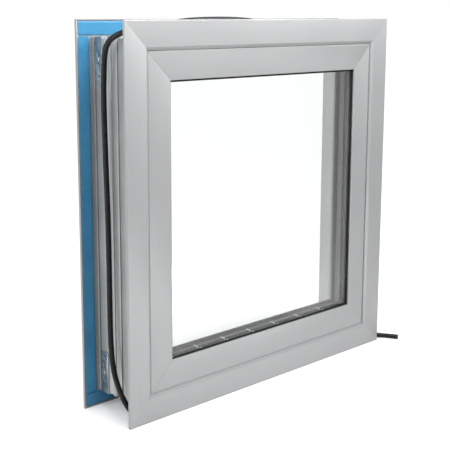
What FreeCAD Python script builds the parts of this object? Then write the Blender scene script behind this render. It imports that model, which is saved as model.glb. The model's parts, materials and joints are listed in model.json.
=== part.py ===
"""Square aluminium window that clamps in a wall, with a side-hung sash and a crank operator.

All lengths are millimetres. X runs along the window, Y from the outer face towards the room,
Z up. The outer face is at depth 0, and each piece is then shifted so that the origin lies on
the outer casing's bottom edge face, the edge that the window stands on, midway along it and
3.25 mm behind the outer face.
"""
import FreeCAD, Part
import math
import os

import Sketcher
from FreeCAD import Placement, Rotation, Vector

SIDES = ["bottom", "left", "top", "right"]

# ---------------------------------------------------------------- driving dimensions

DRIVING = {
    "frame_size": 600, "frame_depth": 116,
    "origin_depth": 3.25, "plate_thickness": 4, "flange_thickness": 4.4, "edge_break": 0.8,
    "rear_thickness": 3, "rear_lip": 1.3, "rear_lip_height": 1.2,
    "casing_flat": 38, "bevel_run": 5, "bevel_depth": 3,
    "box_inset": 26, "wall": 10, "outer_box_end": 72,
    "stop_front": 50, "stop_thickness": 3, "stop_reach": 52,
    "sash_gap": 0.6, "sash_step": 3.4, "sash_back": 48, "sash_seat": 66,
    "sight_inset": 87, "lip_thickness": 3,
    "glass_inset": 71, "glass_front": 9, "pane": 4, "cavity": 10,
    "spacer_inset": 78, "spacer_width": 7, "gasket_inset": 74,
    "bead_depth": 6, "film_width": 21, "film_thickness": 0.4,
    "bracket_leg": 67, "bracket_width": 18, "bracket_thickness": 2, "bracket_start": 84,
    "bracket_screw": 33,
    "axis_back": 4, "pin_radius": 2, "bush_radius": 3.2, "pin_clearance": 0.05,
    "pivot_from_axis": 120, "pivot_behind_axis": 78, "track_behind_axis": 46,
    "arm_length": 95, "arm_rest_angle": 19.75,
    "housing_back": 108, "housing_front": 62, "housing_height": 15, "housing_wall": 3,
    "cover_thickness": 2, "arm_bottom": 54, "arm_thickness": 4,
    "gear_module": 1.25, "gear_teeth": 28, "gear_face": 4, "worm_pitch_radius": 5,
    "worm_length": 26, "worm_shaft_radius": 3, "worm_height": 44,
    "crank_radius": 32, "crank_front": 118.5, "knob_length": 21, "knob_radius": 7.5,
    "cord_diameter": 8.4,
}


class Dim:
    """A length that keeps both its number and the sheet expression that it comes from."""

    def __init__(self, expression, value):
        self.expression = expression
        self.value = float(value)

    @staticmethod
    def of(other):
        return other if isinstance(other, Dim) else Dim(repr(float(other)), other)

    def combine(self, other, sign, value):
        return Dim("(" + self.expression + sign + other.expression + ")", value)

    def __add__(self, other):
        other = Dim.of(other)
        return self.combine(other, " + ", self.value + other.value)

    def __radd__(self, other):
        return Dim.of(other) + self

    def __sub__(self, other):
        other = Dim.of(other)
        return self.combine(other, " - ", self.value - other.value)

    def __rsub__(self, other):
        return Dim.of(other) - self

    def __mul__(self, other):
        other = Dim.of(other)
        return self.combine(other, " * ", self.value * other.value)

    def __rmul__(self, other):
        return Dim.of(other) * self

    def __truediv__(self, other):
        other = Dim.of(other)
        return self.combine(other, " / ", self.value / other.value)

    def __neg__(self):
        return 0 - self


doc = FreeCAD.newDocument("crank_window")
sheet = doc.addObject("Spreadsheet::Sheet", "Sizes")
for row, (alias, number) in enumerate(DRIVING.items(), start=1):
    sheet.set("A%d" % row, alias)
    sheet.set("B%d" % row, str(number))
    sheet.setAlias("B%d" % row, alias)
doc.recompute()


def dim(alias):
    """One driving dimension of the sheet."""
    return Dim("Sizes." + alias, sheet.get(alias))


size = dim("frame_size")
depth = dim("frame_depth")
half = size / 2
plate = dim("plate_thickness")
flange = dim("flange_thickness")
box_inset = dim("box_inset")
box_inner = box_inset + dim("wall")
casing_inner = dim("casing_flat") + dim("bevel_run")
box_end = dim("outer_box_end")
stop_back = dim("stop_front") + dim("stop_thickness")
sash_inset = casing_inner + dim("sash_gap")
sash_body = sash_inset + dim("sash_step")
sash_front = dim("bevel_depth")
sash_back = dim("sash_back")
seat = dim("sash_seat")
sight = dim("sight_inset")
lip_back = sash_front + dim("lip_thickness")
glass_inset = dim("glass_inset")
glass_front = dim("glass_front")
pane = dim("pane")
cavity = dim("cavity")
glass_back = glass_front + 3 * pane + 2 * cavity
rear_plate = depth - dim("rear_thickness")

CENTRE = Vector(0, 0, half.value)
HOME = Vector(0, -dim("origin_depth").value, 0)

# the sash's upright axis, hidden behind its rounded right-hand edge
axis_x = (half - sash_inset - dim("axis_back")).value
axis_y = (sash_front + dim("axis_back")).value
pivot_x = axis_x - dim("pivot_from_axis").value
pivot_y = axis_y + dim("pivot_behind_axis").value
track_y = axis_y + dim("track_behind_axis").value
rest_angle = math.radians(dim("arm_rest_angle").value)
shoe_x = pivot_x - dim("arm_length").value * math.cos(rest_angle)
shoe_y = pivot_y - dim("arm_length").value * math.sin(rest_angle)
wheel_radius = dim("gear_module").value * dim("gear_teeth").value / 2
worm_x = pivot_x + wheel_radius + dim("worm_pitch_radius").value
worm_z = dim("worm_height").value

nodes = {}


def keep(label, piece, placement=None):
    """Give a finished piece its label and its place, and list it as a node."""
    piece.Label = label
    move = placement or Placement()
    piece.Placement = Placement(HOME, Rotation()) * move * piece.Placement
    nodes[label] = piece
    return piece


def turned(quarter):
    """The placement that carries a piece of the bottom side to another side of the frame."""
    turn = Rotation(Vector(0, 1, 0), 90 * quarter)
    return Placement(CENTRE - turn.multVec(CENTRE), turn)


# ---------------------------------------------------------------- sketches and bodies

def origin_plane(body, role):
    """A body's own origin plane, found by its role."""
    return [feature for feature in body.Origin.OriginFeatures if feature.Role == role][0]


def new_sketch(body, name, role, height=None):
    """A sketch on one of the body's origin planes, lifted along its normal by a height."""
    sketch = body.newObject("Sketcher::SketchObject", name)
    sketch.AttachmentSupport = (origin_plane(body, role), [""])
    sketch.MapMode = "FlatFace"
    if height is not None:
        sketch.setExpression("AttachmentOffset.Base.z", height.expression)
    return sketch


def fix_point(sketch, line, kind, length):
    """Hold a line's first point at a signed distance from the sketch's origin."""
    if abs(length.value) < 1e-9:
        axis = -2 if kind == "DistanceX" else -1
        sketch.addConstraint(Sketcher.Constraint("PointOnObject", line, 1, axis))
        return
    number = sketch.addConstraint(Sketcher.Constraint(kind, -1, 1, line, 1, length.value))
    sketch.setExpression("Constraints[%d]" % number, length.expression)


def draw_loop(sketch, points):
    """Draw a closed outline whose corners are all bound to the sheet."""
    corners = [(Dim.of(across), Dim.of(along)) for across, along in points]
    first = sketch.GeometryCount
    count = len(corners)
    for index in range(count):
        start = corners[index]
        end = corners[(index + 1) % count]
        line = Part.LineSegment(Vector(start[0].value, start[1].value, 0),
                                Vector(end[0].value, end[1].value, 0))
        sketch.addGeometry(line, False)
    for index in range(count):
        sketch.addConstraint(Sketcher.Constraint(
            "Coincident", first + index, 2, first + (index + 1) % count, 1))
    for index, (across, along) in enumerate(corners):
        fix_point(sketch, first + index, "DistanceX", across)
        fix_point(sketch, first + index, "DistanceY", along)


def pad(body, sketch, length, symmetric=False):
    """Pad a sketch by a bound length."""
    feature = body.newObject("PartDesign::Pad", sketch.Name + "_pad")
    feature.Profile = sketch
    feature.setExpression("Length", Dim.of(length).expression)
    feature.SideType = "Symmetric" if symmetric else "One side"
    sketch.Visibility = False
    return feature


def rail_body(label, loops, reach):
    """One bottom rail: its section runs the whole width, and both ends are mitred."""
    body = doc.addObject("PartDesign::Body", label)
    section = new_sketch(body, label + "_section", "YZ_Plane")
    for loop in loops:
        draw_loop(section, loop)
    pad(body, section, size, symmetric=True)
    ends = new_sketch(body, label + "_mitres", "XZ_Plane")
    for hand in (-1, 1):
        outside = hand * (half + 1)
        inside = hand * (half - reach)
        draw_loop(ends, [(outside, -1), (inside, reach), (outside, reach)])
    cut = body.newObject("PartDesign::Pocket", label + "_mitre_cut")
    cut.Profile = ends
    cut.Type = "ThroughAll"
    cut.SideType = "Symmetric"
    body.Tip = cut
    return body


def rail_ring(prefix, loops, reach, cutters=None):
    """The four rails of one frame, each mitred, turned about the frame's centre."""
    for quarter, side in enumerate(SIDES):
        label = prefix + "_" + side
        body = rail_body(label + "_rail", loops, reach)
        drills = (cutters or {}).get(side)
        if not drills:
            keep(label, body, turned(quarter))
            continue
        body.Placement = turned(quarter)
        keep(label, cut_by(body, drills))


# ---------------------------------------------------------------- primitives

def box(name, low, lengths):
    """A box from its low corner and three lengths, each bound to the sheet."""
    piece = doc.addObject("Part::Box", name)
    for key, length in zip(("Length", "Width", "Height"), lengths):
        piece.setExpression(key, Dim.of(length).expression)
    piece.Placement.Base = Vector(*[Dim.of(value).value for value in low])
    return piece


def cylinder(name, radius, length, base, axis=Vector(0, 0, 1)):
    """A cylinder along an axis from its base point, its sizes bound to the sheet."""
    piece = doc.addObject("Part::Cylinder", name)
    piece.setExpression("Radius", Dim.of(radius).expression)
    piece.setExpression("Height", Dim.of(length).expression)
    piece.Placement = Placement(base, Rotation(Vector(0, 0, 1), axis))
    return piece


def fuse(name, pieces):
    """Join pieces into one solid."""
    joined = doc.addObject("Part::MultiFuse", name)
    joined.Shapes = pieces
    joined.Refine = True
    return joined


def cut_by(base, tools):
    """Cut one or more tools out of a base piece."""
    tool = tools[0] if len(tools) == 1 else fuse(base.Name + "_tools", tools)
    result = doc.addObject("Part::Cut", base.Name + "_cut")
    result.Base = base
    result.Tool = tool
    return result


def group(name, pieces):
    """Separate solids that share one node."""
    compound = doc.addObject("Part::Compound", name)
    compound.Links = pieces
    return compound


def upright_ring(name, inset, width, front, thickness):
    """A square ring in the plane of the window, between two insets from the frame's edge."""
    outer = size - 2 * Dim.of(inset)
    inner = outer - 2 * Dim.of(width)
    around = box(name + "_outside", (-outer / 2, front, inset), (outer, thickness, outer))
    low = Dim.of(inset) + width
    hole = box(name + "_inside", (-inner / 2, Dim.of(front) - 1, low),
               (inner, Dim.of(thickness) + 2, inner))
    return cut_by(around, [hole])


def upright_sheet(name, inset, front, thickness):
    """A square sheet in the plane of the window."""
    side = size - 2 * Dim.of(inset)
    return box(name, (-side / 2, front, inset), (side, thickness, side))


# ---------------------------------------------------------------- outer and rear frames

def make_casings():
    """The flanges: the bevelled outer casing and the plain rear casing."""
    flat = dim("casing_flat")
    bevel = dim("bevel_depth")
    broken = dim("edge_break")
    rail_ring("front_casing", [[
        (broken, 0), (0, broken), (0, flat), (bevel, casing_inner), (plate, casing_inner),
        (plate, box_inset), (flange, box_inset), (flange, 0)]], casing_inner + 2)
    lip = dim("rear_lip")
    lip_front = rear_plate - dim("rear_lip_height")
    rail_ring("rear_casing", [[
        (lip_front, 0), (lip_front, lip), (rear_plate, lip), (rear_plate, box_inner),
        (depth, box_inner), (depth, 0)]], box_inner + 2)


def make_box_frames():
    """The two boxes that telescope through the wall, with the sash's stop on the outer one."""
    stop = dim("stop_front")
    reach = dim("stop_reach")
    rib_low, rib_high, rib_dip = 48, 51, 3
    dip_low, dip_high, dip = 60, 66, 2
    outer_web, stop_web = 6, 2.5
    outline = [
        (flange, box_inset), (plate, box_inset), (plate, casing_inner),
        (stop, casing_inner), (stop, reach),
        (stop_back, reach), (stop_back, box_inner), (box_end, box_inner),
        (box_end, box_inset), (dip_high, box_inset), (dip_high, box_inset + dip),
        (dip_low, box_inset + dip), (dip_low, box_inset), (rib_high, box_inset),
        (rib_high, box_inset + rib_dip), (rib_low, box_inset + rib_dip), (rib_low, box_inset)]
    chamber_low, chamber_high = box_inset + outer_web, casing_inner - stop_web
    chamber = [(plate + outer_web, chamber_low), (stop - stop_web, chamber_low),
               (stop - stop_web, chamber_high), (plate + outer_web, chamber_high)]
    pin = dim("pin_radius")
    drills = {}
    for side, base in (("bottom", 37), ("top", size.value - casing_inner.value - 1)):
        drills[side] = [cylinder("pin_hole_" + side, pin, casing_inner - 36,
                                 Vector(axis_x, axis_y, base))]
    rail_ring("front_frame", [outline, chamber], dim("stop_reach") + 2, drills)
    slot_low, slot_high, slot_dip = 102.3, 105.3, 5
    skin = box_inset + 1
    lip_skin = box_inset + 0.5
    rail_ring("rear_frame", [[
        (box_end, skin), (slot_low, skin), (slot_low, skin + slot_dip),
        (slot_high, skin + slot_dip), (slot_high, lip_skin), (rear_plate, lip_skin),
        (rear_plate, box_inner), (box_end, box_inner)]], box_inner + 2)


def make_film():
    """Blue protective film on the rear casing's wall side: two full strips, two between."""
    width = dim("film_width")
    thick = dim("film_thickness")
    start, gap = 2.6, 0.2
    long_strip = size - 2 * start
    short_strip = size - 2 * (width + start) - 2 * gap
    front = rear_plate - thick
    for side, low in (("bottom", start), ("top", size - width - start)):
        keep("film_" + side, box("strip_" + side, (-long_strip / 2, front, low),
                                 (long_strip, thick, width)))
    for side, low in (("left", start - half), ("right", half - width - start)):
        keep("film_" + side, box("strip_" + side, (low, front, width + start + gap),
                                 (width, thick, short_strip)))


def bracket_screw_pieces():
    """Eight pan-head screws, one in each leg of each bracket."""
    reach = dim("bracket_screw")
    thick = dim("bracket_thickness")
    head_face = (box_inset - 1).value
    middle = (dim("bracket_start") + dim("bracket_width") / 2).value
    screws = []
    for quarter in range(4):
        for hand in (-1, 1):
            along = hand * (half - box_inset - reach).value
            tag = "%d_%d" % (quarter, hand)
            head = cylinder("head_" + tag, 3.6, 2, Vector(along, middle, head_face - 2))
            shank = cylinder("shank_" + tag, 1.75, thick + 6, Vector(along, middle, head_face))
            screw = fuse("screw_" + tag, [head, shank])
            screw.Placement = turned(quarter)
            screws.append(screw)
    return screws


def make_brackets():
    """Zinc-plated angle brackets round the rear box's corners, and their screws."""
    leg = dim("bracket_leg")
    thick = dim("bracket_thickness")
    outer = half - box_inset + 1
    low = box_inset - 1
    reach = dim("bracket_screw")
    middle = (dim("bracket_start") + dim("bracket_width") / 2).value
    for quarter, corner in enumerate(["lower_left", "upper_left", "upper_right", "lower_right"]):
        body = doc.addObject("PartDesign::Body", "bracket_" + corner)
        section = new_sketch(body, "angle_" + corner, "XZ_Plane", -dim("bracket_start"))
        draw_loop(section, [
            (-outer, low), (-outer, low + leg), (thick - outer, low + leg),
            (thick - outer, low + thick), (leg - outer, low + thick), (leg - outer, low)])
        feature = pad(body, section, dim("bracket_width"))
        feature.Reversed = True
        along = (half - box_inset - reach).value
        holes = [
            cylinder("foot_hole_" + corner, 1.8, thick + 2,
                     Vector(-along, middle, low.value - 1)),
            cylinder("side_hole_" + corner, 1.8, thick + 2,
                     Vector(-outer.value - 1, middle, half.value - along), Vector(1, 0, 0))]
        keep("corner_bracket_" + corner, cut_by(body, holes), turned(quarter))
    keep("bracket_screws", group("bracket_screw_set", bracket_screw_pieces()))


def make_cleats(label, inset, width, front, thickness, leg):
    """Four L-shaped corner cleats inside the rails' chambers, which hold the mitres shut."""
    cleats = []
    outer = half - Dim.of(inset)
    for quarter in range(4):
        name = "%s_%d" % (label, quarter)
        foot = box(name + "_foot", (-outer, front, inset), (leg, thickness, width))
        post = box(name + "_post", (-outer, front, inset), (width, thickness, leg))
        cleat = fuse(name, [foot, post])
        cleat.Placement = turned(quarter)
        cleats.append(cleat)
    keep(label, group(label + "_set", cleats))


# ---------------------------------------------------------------- sash and glazing

def make_sash_rails():
    """The sash's four rails. The right one has its outer edge rounded about the axis."""
    broken = dim("edge_break")
    block_back = 11
    outline = [
        (sash_front, sash_inset), (sash_front, sight - broken), (sash_front + broken, sight),
        (lip_back, sight), (lip_back, seat), (sash_back, seat), (sash_back, sash_body),
        (block_back, sash_body), (block_back, sash_inset)]
    chamber = [(12.5, sash_body + 4), (sash_back - 3, sash_body + 4),
               (sash_back - 3, seat - 3), (12.5, seat - 3)]
    bush = dim("bush_radius")
    drills = {"bottom": [], "top": [], "right": []}
    bore = 14.4
    low = sash_inset.value
    for side, base in (("bottom", low), ("top", size.value - low - bore)):
        for target in (side, "right"):
            drills[target].append(cylinder("bush_hole_%s_%s" % (side, target), bush, bore,
                                           Vector(axis_x, axis_y, base)))
        drills[side].append(corner_cutter(side, base))
    for quarter, side in enumerate(SIDES):
        label = "sash_rail_" + side
        body = rail_body(label + "_rail", [outline, chamber], sight + 2)
        if side == "right":
            round_outer_edge(body)
        if side not in drills:
            keep(label, body, turned(quarter))
            continue
        body.Placement = turned(quarter)
        keep(label, cut_by(body, drills[side]))


def corner_cutter(side, base):
    """What lies beyond the axis's radius at the mitred end of the top or bottom rail."""
    reach = dim("axis_back")
    block = box("corner_block_" + side, (axis_x, axis_y - reach.value - 1, base - 1),
                (reach + 2, reach + 1, 17))
    core = cylinder("corner_core_" + side, reach - 0.001, 19,
                    Vector(axis_x, axis_y, base - 2))
    return cut_by(block, [core])


def round_outer_edge(body):
    """Round the rail's outer front edge with the sash axis as its centre."""
    doc.recompute()
    low = sash_inset.value
    names = []
    for index, line in enumerate(body.Shape.Edges, start=1):
        ends = [vertex.Point for vertex in line.Vertexes]
        if all(abs(end.y - sash_front.value) < 1e-6 and abs(end.z - low) < 1e-6 for end in ends):
            names.append("Edge%d" % index)
    plain_rail = body.Tip
    fillet = body.newObject("PartDesign::Fillet", "rounded_edge")
    fillet.Base = (plain_rail, names)
    fillet.setExpression("Radius", (dim("axis_back") - 0.001).expression)
    body.Tip = fillet


def make_glazing():
    """Triple glazing: three panes, two perforated spacers, their seal, gaskets and blocks."""
    fronts = [glass_front + index * (pane + cavity) for index in range(3)]
    for name, front in zip(("outer_pane", "middle_pane", "inner_pane"), fronts):
        keep(name, upright_sheet(name + "_sheet", glass_inset, front, pane))
    spacer = dim("spacer_inset")
    seals = []
    for name, front in zip(("outer_spacer", "inner_spacer"), fronts):
        behind = front + pane
        keep(name, upright_ring(name + "_ring", spacer, dim("spacer_width"), behind, cavity))
        seals.append(upright_ring(name + "_seal", glass_inset + 0.5,
                                  spacer - glass_inset - 0.5, behind, cavity))
    keep("edge_seals", group("edge_seal_set", seals))
    gasket = dim("gasket_inset")
    outer_ring = upright_ring("outer_gasket_ring", gasket, sight - gasket + 0.4,
                              lip_back, glass_front - lip_back)
    inner_ring = upright_ring("inner_gasket_ring", gasket, sight - gasket + 0.4,
                              glass_back, 3)
    keep("glazing_gaskets", group("glazing_gasket_set", [outer_ring, inner_ring]))
    blocks = []
    for quarter in range(4):
        for hand in (-1, 1):
            name = "block_%d_%d" % (quarter, hand)
            block = box(name, (hand * 120 - 30, glass_front, seat),
                        (60, glass_back - glass_front, glass_inset - seat))
            block.Placement = turned(quarter) * block.Placement
            blocks.append(block)
    keep("setting_blocks", group("setting_block_set", blocks))


def make_beads():
    """Glazing beads that clip in from the room side and press the inner gasket."""
    front = glass_back + 3
    back = front + dim("bead_depth")
    rail_ring("glazing_bead", [[
        (front, seat), (front, sight - 1), (front + 1, sight), (back - 2, sight),
        (back, sight - 3), (back, seat)]], sight + 2)


def make_hinge():
    """Pivot pins fixed in the frame, and flanged bushes in the sash."""
    pin = dim("pin_radius")
    clearance = dim("pin_clearance")
    pins = []
    bushes = []
    bush_length = 14
    face = (casing_inner + clearance).value
    for tag, turn in (("low", 0), ("high", 2)):
        mirrored = turned(turn)
        across = axis_x if turn == 0 else -axis_x
        pins.append(cylinder("pin_" + tag, pin, casing_inner - 37 + 12,
                             Vector(across, axis_y, 37)))
        tube = cylinder("tube_" + tag, dim("bush_radius"), bush_length + 0.55,
                        Vector(across, axis_y, face))
        bore = cylinder("bore_" + tag, pin + clearance, 20, Vector(across, axis_y, face - 1))
        bushes.append(cut_by(tube, [bore]))
        pins[-1].Placement = mirrored * pins[-1].Placement
        bushes[-1].Placement = mirrored
    keep("hinge_pins", group("hinge_pin_set", pins))
    keep("hinge_bushes", group("hinge_bush_set", bushes))


def make_weather_gasket():
    """The compression gasket on the frame's stop, just clear of the closed sash."""
    keep("weather_gasket", upright_ring("stop_gasket", 44, 7.5, dim("stop_front") - 1.7, 1.7))


# ---------------------------------------------------------------- crank operator

def make_housing():
    """The operator's tub, cover, cover screws and shaft bushes on the box's sill."""
    wall = dim("housing_wall")
    front = dim("housing_front")
    back = dim("housing_back")
    sill = box_inner
    height = dim("housing_height")
    low_x, high_x = pivot_x - 24.4, worm_x + 16
    length = high_x - low_x
    tub = box("tub", (low_x, front, sill), (length, back - front, height))
    hollow = box("tub_hollow", (low_x + wall.value, front + wall, sill + 1.4),
                 (length - 2 * wall.value, back - front - 2 * wall, height))
    shell = cut_by(tub, [hollow])
    posts = []
    screws = []
    screw_holes = []
    cover_holes = []
    top = sill + height
    for across in (low_x + 6, high_x - 6):
        for along in (front.value + 6, back.value - 6):
            tag = "%d_%d" % (across, along)
            base = Vector(across, along, sill.value + 1)
            posts.append(cylinder("post_" + tag, 3.4, height - 1, base))
            screw_holes.append(cylinder("tap_" + tag, 1.5, 10, Vector(across, along, top.value - 9)))
            over = Vector(across, along, top.value - 1)
            cover_holes.append(cylinder("cover_hole_" + tag, 1.6, 5, over))
            head_base = Vector(across, along, (top + dim("cover_thickness")).value)
            head = cylinder("cover_head_" + tag, 2.8, 0.9, head_base)
            shank = cylinder("cover_shank_" + tag, 1.5, 10 - 0.5,
                             head_base - Vector(0, 0, 9.5))
            screws.append(fuse("cover_screw_" + tag, [head, shank]))
    solid = fuse("tub_with_posts", [shell] + posts)
    bush_hole = 4.5
    bores = [cylinder("bush_hole", bush_hole, back - front + 2,
                      Vector(worm_x, front.value - 1, worm_z), Vector(0, 1, 0))]
    keep("operator_housing", cut_by(solid, bores + screw_holes))
    lid = box("lid", (low_x, front, top), (length, back - front, dim("cover_thickness")))
    shaft_hole = cylinder("shaft_hole", 5.05, 5, Vector(pivot_x, pivot_y, top.value - 1))
    keep("operator_cover", cut_by(lid, [shaft_hole] + cover_holes))
    keep("operator_screws", group("operator_screw_set", screws))
    bushes = []
    for tag, start in (("near", front), ("far", back - wall)):
        ring = cylinder("worm_bush_" + tag, bush_hole, wall,
                        Vector(worm_x, start.value, worm_z), Vector(0, 1, 0))
        hole = cylinder("worm_bush_hole_" + tag,
                        dim("worm_shaft_radius") + dim("pin_clearance"), wall + 2,
                        Vector(worm_x, start.value - 1, worm_z), Vector(0, 1, 0))
        bushes.append(cut_by(ring, [hole]))
    keep("worm_bushes", group("worm_bush_set", bushes))


def make_worm_wheel():
    """A worm wheel with straight teeth and room to spare, on the drive arm's shaft."""
    module = dim("gear_module").value
    teeth = int(dim("gear_teeth").value)
    tip = wheel_radius + module
    root = wheel_radius - 1.2 * module
    tooth_half = [(root, 0.085), (wheel_radius, 0.040), (tip, 0.018)]
    step = 2 * math.pi / teeth
    points = []
    for index in range(teeth):
        middle = (index + 0.5) * step
        for radius, spread in tooth_half:
            angle = middle - spread
            points.append(Vector(radius * math.cos(angle), radius * math.sin(angle), 0))
        for radius, spread in reversed(tooth_half):
            angle = middle + spread
            points.append(Vector(radius * math.cos(angle), radius * math.sin(angle), 0))
    face = dim("gear_face").value
    disc = Part.Face(Part.makePolygon(points + [points[0]])).extrude(Vector(0, 0, face))
    centre = Vector(pivot_x, pivot_y, 0)
    disc.translate(centre + Vector(0, 0, worm_z - face / 2))
    low = box_inner.value + 2.2
    top = (dim("arm_bottom") + dim("arm_thickness")).value
    shaft = Part.makeCylinder(5, top - low, centre + Vector(0, 0, low))
    wheel = doc.addObject("Part::Feature", "wheel_and_shaft")
    wheel.Shape = disc.fuse(shaft).removeSplitter()
    keep("worm_wheel", wheel)


def make_worm():
    """The right-handed worm on its shaft, which runs out to the crank."""
    module = dim("gear_module").value
    lead = math.pi * module
    pitch_radius = dim("worm_pitch_radius").value
    length = dim("worm_length").value
    core_radius = pitch_radius - 1.2 * module
    tip_radius = pitch_radius + module
    root_half, tip_half = 1.05, 0.32
    section = Part.makePolygon([
        Vector(core_radius - 0.2, 0, -root_half), Vector(tip_radius, 0, -tip_half),
        Vector(tip_radius, 0, tip_half), Vector(core_radius - 0.2, 0, root_half),
        Vector(core_radius - 0.2, 0, -root_half)])
    turns = int(length / lead)
    height = turns * lead
    helix = Part.Wire(Part.makeHelix(lead, height, pitch_radius))
    thread = helix.makePipeShell([section], True, True)
    core = Part.makeCylinder(core_radius, height + 4, Vector(0, 0, -2))
    start_y = dim("housing_front").value + 0.2
    end_y = dim("crank_front").value + 9
    shaft = Part.makeCylinder(dim("worm_shaft_radius").value, end_y - start_y)
    screw = core.fuse(thread)
    # along Y, with a thread crest facing the wheel at the wheel's own depth
    upright_to_depth = Placement(Vector(), Rotation(Vector(1, 0, 0), -90))
    screw.Placement = Placement(Vector(), Rotation(Vector(0, 1, 0), 180)) * upright_to_depth
    middle = pivot_y - int(turns / 2) * lead
    screw.translate(Vector(worm_x, middle, worm_z))
    shaft.Placement = upright_to_depth
    shaft.translate(Vector(worm_x, start_y, worm_z))
    piece = doc.addObject("Part::Feature", "worm_and_shaft")
    piece.Shape = screw.fuse(shaft)
    keep("worm_shaft", piece)


def make_arm():
    """The drive arm with its riveted pin, and the shoe that slides in the sash's track."""
    bottom = dim("arm_bottom")
    thick = dim("arm_thickness")
    length = dim("arm_length")
    hub = 9.5
    tip = 4
    body = doc.addObject("PartDesign::Body", "arm_body")
    section = new_sketch(body, "arm_section", "XY_Plane", bottom)
    lean = math.asin((hub - tip) / length.value)
    hub_x, hub_y = hub * math.sin(lean), hub * math.cos(lean)
    tip_x, tip_y = tip * math.sin(lean), tip * math.cos(lean)
    draw_loop(section, [(hub_x, -hub_y), (hub_x, hub_y), (length + tip_x, tip_y),
                        (length + tip_x, -tip_y)])
    pad(body, section, thick)
    aim = Rotation(Vector(0, 0, 1), 180 + math.degrees(rest_angle))
    body.Placement = Placement(Vector(pivot_x, pivot_y, 0), aim)
    hub_disc = cylinder("arm_hub", hub, thick, Vector(pivot_x, pivot_y, bottom.value))
    tip_disc = cylinder("arm_tip", tip, thick, Vector(shoe_x, shoe_y, bottom.value))
    rivet = cylinder("arm_rivet", dim("pin_radius"), thick + 4.7,
                     Vector(shoe_x, shoe_y, bottom.value))
    blank = fuse("arm_blank", [body, hub_disc, tip_disc, rivet])
    keyway = cylinder("arm_bore", 5, thick + 2, Vector(pivot_x, pivot_y, bottom.value - 1))
    keep("drive_arm", cut_by(blank, [keyway]))
    track_low = bottom + thick + 1
    shoe = box("shoe_block", (shoe_x - 7, shoe_y - 2.8, track_low + 0.4), (14, 5.6, 4))
    shoe_bore = cylinder("shoe_bore", dim("pin_radius") + dim("pin_clearance"), 8,
                         Vector(shoe_x, shoe_y, track_low.value - 1))
    keep("track_shoe", cut_by(shoe, [shoe_bore]))
    low_x, high_x = 25, 177
    channel = box("track_blank", (low_x, sash_back, track_low), (high_x - low_x, 10, 6.5))
    slot = box("track_slot", (low_x + 4, track_y - 3, track_low - 1),
               (high_x - low_x - 8, 6, 6))
    keep("arm_track", cut_by(channel, [slot]))


def make_crank():
    """The crank: hub and arm, its clamping screw, and the knob on its shouldered pin."""
    front = dim("crank_front")
    radius = dim("crank_radius")
    along = Vector(0, 1, 0)
    hub_point = Vector(worm_x, front.value, worm_z)
    knob_z = worm_z - radius.value
    hub = cylinder("crank_hub", 7.5, 10, hub_point, along)
    boss = cylinder("crank_boss", 5.5, 6, Vector(worm_x, front.value + 3, knob_z), along)
    body = doc.addObject("PartDesign::Body", "crank_web")
    section = new_sketch(body, "web_section", "XZ_Plane", -(front + 3))
    draw_loop(section, [(-6.5, 0), (6.5, 0), (4.8, -radius), (-4.8, -radius)])
    web = pad(body, section, 5)
    web.Reversed = True
    body.Placement = Placement(Vector(worm_x, 0, worm_z), Rotation())
    blank = fuse("crank_blank", [hub, boss, body])
    bore = cylinder("crank_bore", dim("worm_shaft_radius"), 9,
                    Vector(worm_x, front.value - 0.001, worm_z), along)
    pin_radius = 2.5
    pin_hole = cylinder("crank_pin_hole", pin_radius, 8,
                        Vector(worm_x, front.value + 2, knob_z), along)
    screw_hole = cylinder("crank_screw_hole", 1.8, 3,
                          Vector(worm_x, front.value + 8, worm_z), along)
    keep("crank_arm", cut_by(blank, [bore, pin_hole, screw_hole]))
    head = cylinder("crank_screw_head", 3.8, 1.8,
                    Vector(worm_x, front.value + 10, worm_z), along)
    stem = cylinder("crank_screw_stem", 1.8, 1, Vector(worm_x, front.value + 9, worm_z), along)
    keep("crank_screw", fuse("crank_screw_parts", [head, stem]))
    knob_start = front.value + 9.3
    knob_length = dim("knob_length")
    pin = cylinder("knob_pin_stem", pin_radius, knob_length + 6.4,
                   Vector(worm_x, front.value + 3, knob_z), along)
    cap = cylinder("knob_pin_cap", 4, 1.2,
                   Vector(worm_x, knob_start + knob_length.value + 0.1, knob_z), along)
    keep("knob_pin", fuse("knob_pin_parts", [pin, cap]))
    keep("crank_knob", knob_piece(knob_start, knob_z, pin_radius))


def knob_piece(start, height, pin_radius):
    """A waisted knob turned about the crank's pin."""
    length = dim("knob_length").value
    radius = dim("knob_radius").value
    bore = pin_radius + dim("pin_clearance").value
    neck = radius * 0.66
    low = Vector(bore, 0, 0)
    outline = [
        Part.LineSegment(low, Vector(neck, 0, 0)).toShape(),
        Part.Arc(Vector(neck, 0, 0), Vector(neck + 0.2, 0, length * 0.25),
                 Vector(radius - 0.9, 0, length * 0.5)).toShape(),
        Part.Arc(Vector(radius - 0.9, 0, length * 0.5), Vector(radius, 0, length * 0.74),
                 Vector(radius - 1.8, 0, length - 1)).toShape(),
        Part.LineSegment(Vector(radius - 1.8, 0, length - 1),
                         Vector(radius - 3, 0, length)).toShape(),
        Part.LineSegment(Vector(radius - 3, 0, length), Vector(bore, 0, length)).toShape(),
        Part.LineSegment(Vector(bore, 0, length), low).toShape()]
    turned_solid = Part.Face(Part.Wire(outline)).revolve(Vector(), Vector(0, 0, 1), 360)
    turned_solid.Placement = Placement(Vector(worm_x, start, height),
                                       Rotation(Vector(1, 0, 0), -90))
    knob = doc.addObject("Part::Feature", "turned_knob")
    knob.Shape = turned_solid
    return knob


# ---------------------------------------------------------------- sealing cord

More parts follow.
